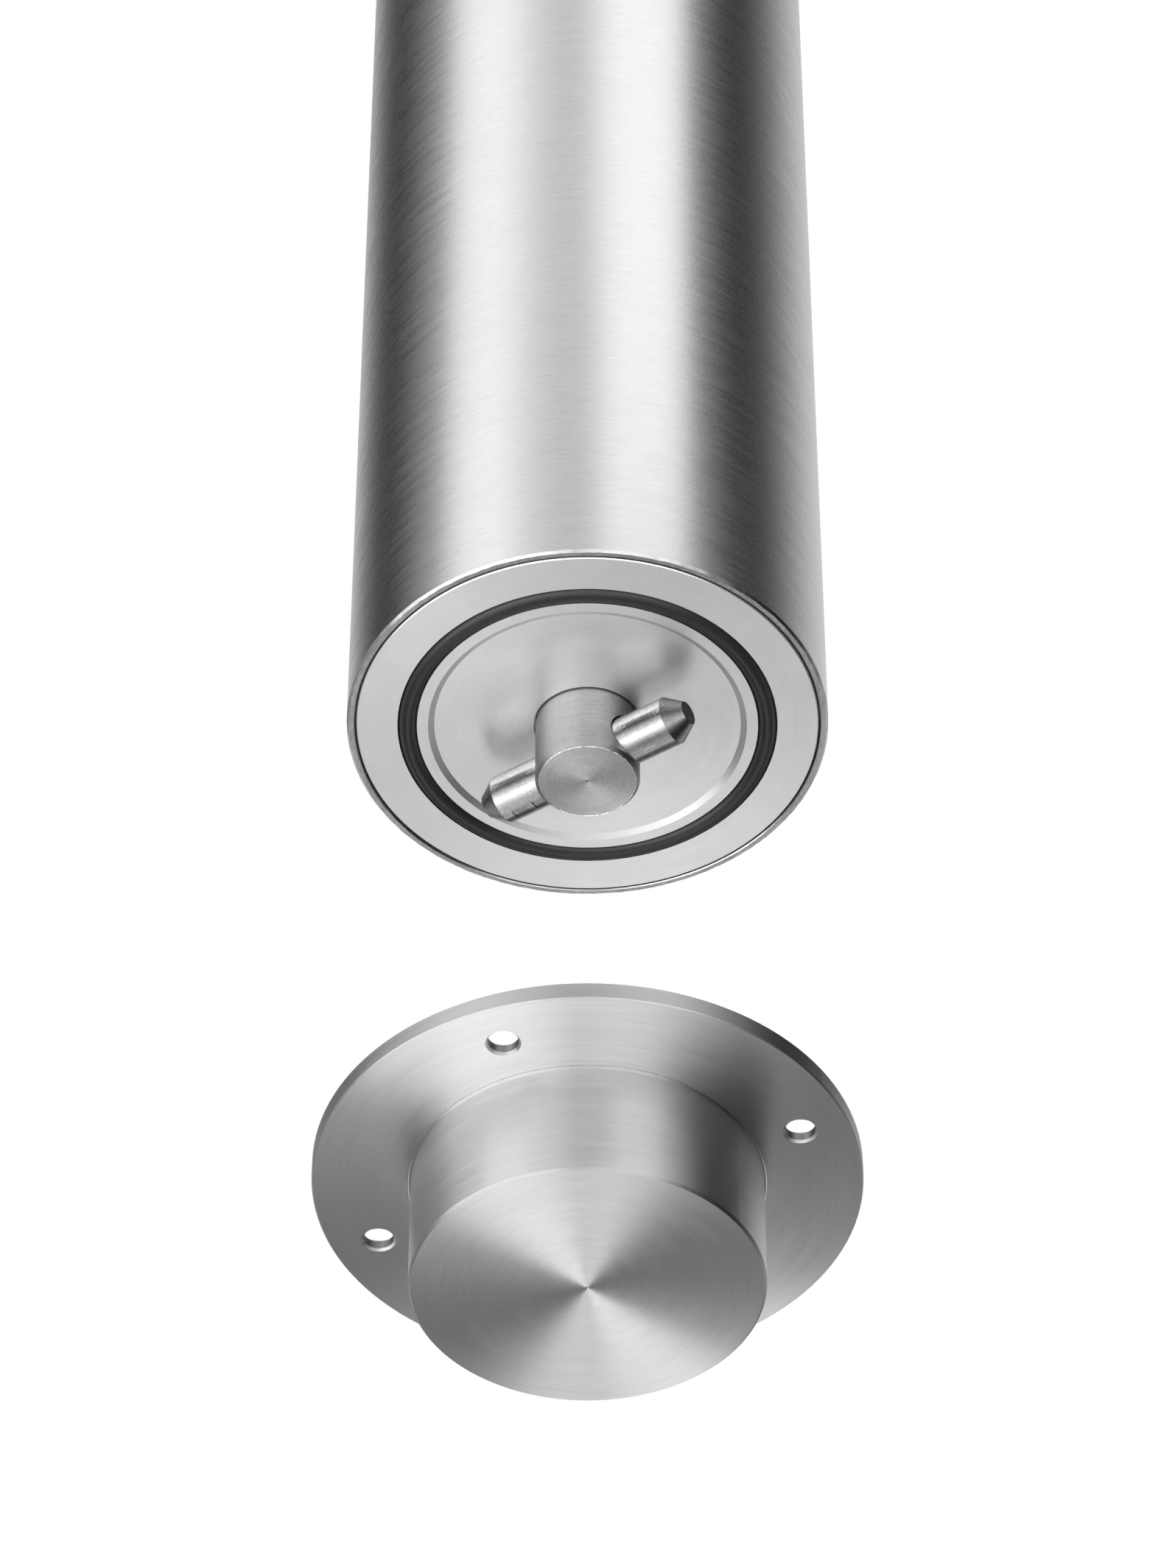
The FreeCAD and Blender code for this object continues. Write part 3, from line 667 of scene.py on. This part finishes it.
def card_finish(name, tint, glow=0.0):
    """A stage card's finish, thinned out by its cover: matt, or lit where it has a glow."""
    material, tree = empty_material(name)
    cover = add(tree, "ShaderNodeAttribute", attribute_name="cover").outputs["Fac"]
    if glow:
        body = add(tree, "ShaderNodeEmission", {"Color": tint, "Strength": glow})
    else:
        body = add(tree, "ShaderNodeBsdfDiffuse", {"Color": tint})
    gone = add(tree, "ShaderNodeBsdfTransparent")
    mixed = add(tree, "ShaderNodeMixShader", {0: cover, 1: gone.outputs[0], 2: body.outputs[0]})
    add(tree, "ShaderNodeOutputMaterial", {"Surface": mixed.outputs[0]})
    return material


def laid_card(name, grid, material):
    """A stage card from rows of places with their cover. Only metal mirrors it: the camera and the light pass."""
    mesh = bpy.data.meshes.new(name)
    work = bmesh.new()
    layer = work.verts.layers.float.new("cover")
    rows = []
    for places in grid:
        row = []
        for place, cover in places:
            corner = work.verts.new(place)
            corner[layer] = cover
            row.append(corner)
        rows.append(row)
    for left, right in zip(rows, rows[1:]):
        for step in range(len(left) - 1):
            face = work.faces.new((left[step], right[step], right[step + 1], left[step + 1]))
            face.smooth = True
    work.to_mesh(mesh)
    work.free()
    mesh.materials.append(material)
    card = linked(name, mesh)
    card.visible_camera = False
    card.visible_diffuse = False
    card.visible_shadow = False
    card.visible_transmission = False


def bowed_card(name, start, end, low, high, radius, fade_in, fade_out, material):
    """A card that bows round the axis, from start to end degrees right of the camera."""
    columns, rows = 48, 2
    grid = []
    for column in range(columns + 1):
        degrees = (end - start) * column / columns
        angle = math.radians(start + degrees)
        cover = min(1.0, degrees / fade_in) if fade_in else 1.0
        cover *= min(1.0, (end - start - degrees) / fade_out) if fade_out else 1.0
        right, away = radius * math.sin(angle), -radius * math.cos(angle)
        grid.append([(from_camera(right, away, low + (high - low) * row / rows), cover)
                     for row in range(rows + 1)])
    laid_card(name, grid, material)


def floor_card(name, apex, start, end, reach, height, fade, material):
    """A card over the floor that spreads from its apex between start and end, and thins out towards both."""
    rays = 32
    grid = []
    for ray in range(rays + 1):
        share = ray / rays
        angle = math.radians(start + (end - start) * share)
        cover = min(1.0, min(share, 1 - share) * abs(end - start) / fade)
        row = []
        for radius, full in ((FLOOR_CARD_START, 0.0), (FLOOR_CARD_FULL, cover), (reach, cover)):
            right, away = apex + radius * math.sin(angle), FLOOR_CARDS_AWAY + radius * math.cos(angle)
            row.append((from_camera(right, away, height), full))
        grid.append(row)
    laid_card(name, grid, material)


def soft_box(name, place, target, wide, tall, radiance):
    """An area lamp that faces a target."""
    data = bpy.data.lights.new(name, "AREA")
    data.shape = "RECTANGLE"
    data.size = wide
    data.size_y = tall
    data.energy = radiance * math.pi * wide * tall
    lamp = linked(name, data)
    lamp.location = place
    lamp.rotation_euler = (place - target).to_track_quat("Z", "Y").to_euler()
    lamp.visible_camera = False


def hang_white(scene):
    """White all round, and a plain even light from it."""
    world = bpy.data.worlds.new("studio")
    scene.world = world
    world.use_nodes = True
    tree = world.node_tree
    tree.nodes.clear()
    strength = add(tree, "ShaderNodeMapRange", {"Value": background_rays(tree), "To Min": 0.45, "To Max": 1.0})
    light = add(tree, "ShaderNodeBackground", {"Color": WHITE, "Strength": strength.outputs[0]})
    add(tree, "ShaderNodeOutputWorld", {"Surface": light.outputs[0]})


def lay_floor(chosen):
    """A pale matt floor, which keeps the shadow. It is open from below, for views from under it."""
    pale, tree = empty_material("pale_matt_floor")
    matt = add(tree, "ShaderNodeBsdfDiffuse", {"Color": tuple(chosen.floor)})
    lift = add(tree, "ShaderNodeMath", {0: background_rays(tree), 1: 0.25}, operation="MULTIPLY")
    glow = add(tree, "ShaderNodeEmission", {"Color": WHITE, "Strength": lift.outputs[0]})
    lit = add(tree, "ShaderNodeAddShader", {0: matt.outputs[0], 1: glow.outputs[0]})
    gone = add(tree, "ShaderNodeBsdfTransparent")
    below = add(tree, "ShaderNodeNewGeometry").outputs["Backfacing"]
    sided = add(tree, "ShaderNodeMixShader", {0: below, 1: lit.outputs[0], 2: gone.outputs[0]})
    add(tree, "ShaderNodeOutputMaterial", {"Surface": sided.outputs[0]})
    mesh = bpy.data.meshes.new("floor")
    reach = 40.0
    corners = [(right * reach, ahead * reach, chosen.floor_height)
               for right, ahead in ((-1, -1), (1, -1), (1, 1), (-1, 1))]
    mesh.from_pydata(corners, [], [(0, 1, 2, 3)])
    mesh.materials.append(pale)
    floor = linked("floor", mesh)


def stand_cards(chosen):
    """Grey and white cards, seen only in the steel: they stand for the dark and the lit parts of a studio."""
    finishes = {"grey_card": card_finish("grey_card", tuple(chosen.card)),
                "dark_card": card_finish("dark_card", tuple(chosen.dark_card))}
    for name, glow in CARD_GLOWS.items():
        finishes[name] = card_finish(name, WHITE, glow)
    for name, *sizes, finish in BOWED_CARDS:
        bowed_card(name, *sizes, finishes[finish])
    for name, apex, start, end, reach, over, fade, finish in FLOOR_CARDS:
        floor_card(name, apex, start, end, reach, chosen.floor_height + over, fade, finishes[finish])


def stand_camera(scene, chosen):
    """The camera looks up at the foot with a long lens."""
    data = bpy.data.cameras.new("camera")
    data.sensor_fit = "AUTO"
    data.sensor_width = 36
    data.lens = chosen.lens
    data.clip_start = 0.05
    data.clip_end = 50
    camera = linked("camera", data)
    camera.location = from_camera(0, -chosen.distance, chosen.height)
    camera.rotation_euler = (math.pi / 2 + chosen.pitch, 0, chosen.azimuth)
    scene.camera = camera


class BARRIER_OT_stage(bpy.types.Operator):
    """Lay the pale floor, light the post and stand the camera"""

    bl_idname = "barrier.stage"
    bl_label = "Floor, light and camera"

    def execute(self, context):
        chosen = settings("stage")
        scene = context.scene
        scene.view_settings.view_transform = "Standard"
        hang_white(scene)
        lay_floor(chosen)
        stand_cards(chosen)
        foot = Vector((0, 0, 0.1))
        soft_box("key_lamp", from_camera(0.66, -1.25, 1.37), foot, wide=1.0, tall=2.4, radiance=0.9)
        soft_box("fill_lamp", from_camera(-1.08, -0.91, 1.37), foot, wide=0.9, tall=2.4, radiance=0.82)
        stand_camera(scene, chosen)
        return {"FINISHED"}


class BARRIER_PT_panel(bpy.types.Panel):
    """Lists the steps that dress the post"""

    bl_idname = "BARRIER_PT_panel"
    bl_label = "Barrier post"
    bl_space_type = "VIEW_3D"
    bl_region_type = "UI"
    bl_category = "Barrier post"

    def draw(self, context):
        for name, group in GROUPS.items():
            box = self.layout.box()
            box.operator(f"barrier.{name}")
            for field in group.__annotations__:
                box.prop(settings(name), field)


GROUPS = {"tube": TubeSettings, "plug": PlugSettings, "lock": LockSettings, "socket": SocketSettings,
          "inner": InnerSettings, "stage": StageSettings}
OPERATORS = (BARRIER_OT_tube, BARRIER_OT_plug, BARRIER_OT_lock, BARRIER_OT_socket, BARRIER_OT_inner,
             BARRIER_OT_stage)


def register():
    """Makes the settings, steps and panel known to Blender."""
    for name, group in GROUPS.items():
        bpy.utils.register_class(group)
        setattr(bpy.types.Scene, "barrier_" + name, bpy.props.PointerProperty(type=group))
    for step in OPERATORS:
        bpy.utils.register_class(step)
    bpy.utils.register_class(BARRIER_PT_panel)


def unregister():
    """Takes them away again."""
    bpy.utils.unregister_class(BARRIER_PT_panel)
    for step in reversed(OPERATORS):
        bpy.utils.unregister_class(step)
    for name, group in GROUPS.items():
        delattr(bpy.types.Scene, "barrier_" + name)
        bpy.utils.unregister_class(group)


def main():
    """Dresses the whole post."""
    register()
    for name in GROUPS:
        getattr(bpy.ops.barrier, name)()


if __name__ == "__main__":
    main()
